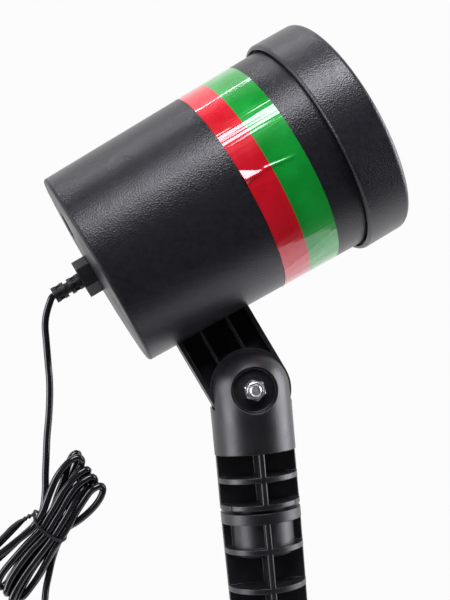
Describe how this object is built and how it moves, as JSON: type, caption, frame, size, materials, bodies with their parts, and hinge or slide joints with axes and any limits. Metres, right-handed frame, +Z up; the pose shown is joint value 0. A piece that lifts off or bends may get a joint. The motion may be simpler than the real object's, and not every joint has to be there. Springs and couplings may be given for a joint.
{
  "type": "light projector stake",
  "caption": "Outdoor light projector: a tapered barrel with a front hood that tilts on a two-piece ribbed ground stake, with a hanging low-voltage lead tied in a hank.",
  "frame": {"origin": "on the stake's axis at the ground line, where the pushed-in spike meets the ground", "axes": "+Z up along the stake, +X the way the barrel points, Y along the tilt bolt"},
  "size_m": [0.1934, 0.1012, 0.3862],
  "materials": {
    "housing": "fine leather grain, black",
    "cover": "smooth satin, black",
    "red_foil": "glossy metallic foil",
    "green_foil": "glossy metallic foil",
    "window": "clear, polished",
    "seal": "matte, black",
    "mask": "matte, black",
    "grating": "clear with a faint sheen",
    "heat_sink": "milled",
    "laser_case": "turned, satin",
    "board": "solder mask, green",
    "chips": "moulded, black",
    "leads": "insulated wire, red",
    "screws": "dark zinc",
    "cell": "orange face",
    "plunger": "pale",
    "eye": "milky clear",
    "button": "soft grey",
    "gland": "matte, black",
    "cord": "glossy flexible jacket, black",
    "bracket": "matte, deep black",
    "stake": "satin, black",
    "bolt": "bright plated",
    "contact": "nickel plated"
  },
  "bodies": {
    "stake": {"stake_arm": "stake", "ground_spike": "stake", "tilt_bolt": "bolt", "tilt_nut": "bolt"},
    "head": {"barrel": "housing", "hood": "housing", "red_band": "red_foil", "green_band": "green_foil", "lens_window": "window", "lens_gasket": "seal", "front_plate": "mask", "gratings": "grating", "laser_carrier": "heat_sink", "red_laser": "laser_case", "green_laser": "laser_case", "driver_board": "board", "board_parts": "chips", "inner_leads": "leads", "rear_cover": "cover", "rear_gasket": "seal", "cover_screws": "screws", "switch_board": "board", "tact_switch": "chips", "photocell": "cell", "dusk_window": "eye", "switch_screws": "screws", "cable_gland": "gland", "gland_nut": "gland", "strain_relief": "gland", "cord_entry": "cord", "mount_bracket": "bracket", "bracket_screws": "screws"},
    "button": {"mode_button": "button", "switch_plunger": "plunger"},
    "cord": {"cord_drop": "cord", "cord_hank": "cord", "cord_tie": "gland", "cord_tail": "cord", "plug_relief": "gland", "plug_body": "gland", "plug_contact": "contact"}
  },
  "joints": [
    {"name": "head_tilt", "type": "hinge", "parent": "stake", "child": "head", "pos_m": [0, 0, 0.13], "axis": [0, -1, 0], "range_deg": [-35.7, 10]},
    {"name": "button_press", "type": "slide", "parent": "head", "child": "button", "axis": [0.9011, 0, 0.4337], "range_m": [0, 0.0005], "stiffness_N_per_m": 2500},
    {"name": "cord_hang", "type": "hinge", "parent": "head", "child": "cord", "pos_m": [-0.08177, 0, 0.17665], "axis": [0, -1, 0], "range_deg": [-10, 35.7]}
  ],
  "couplings": [
    {"joint": "cord_hang", "follows": "head_tilt", "ratio": -1}
  ]
}
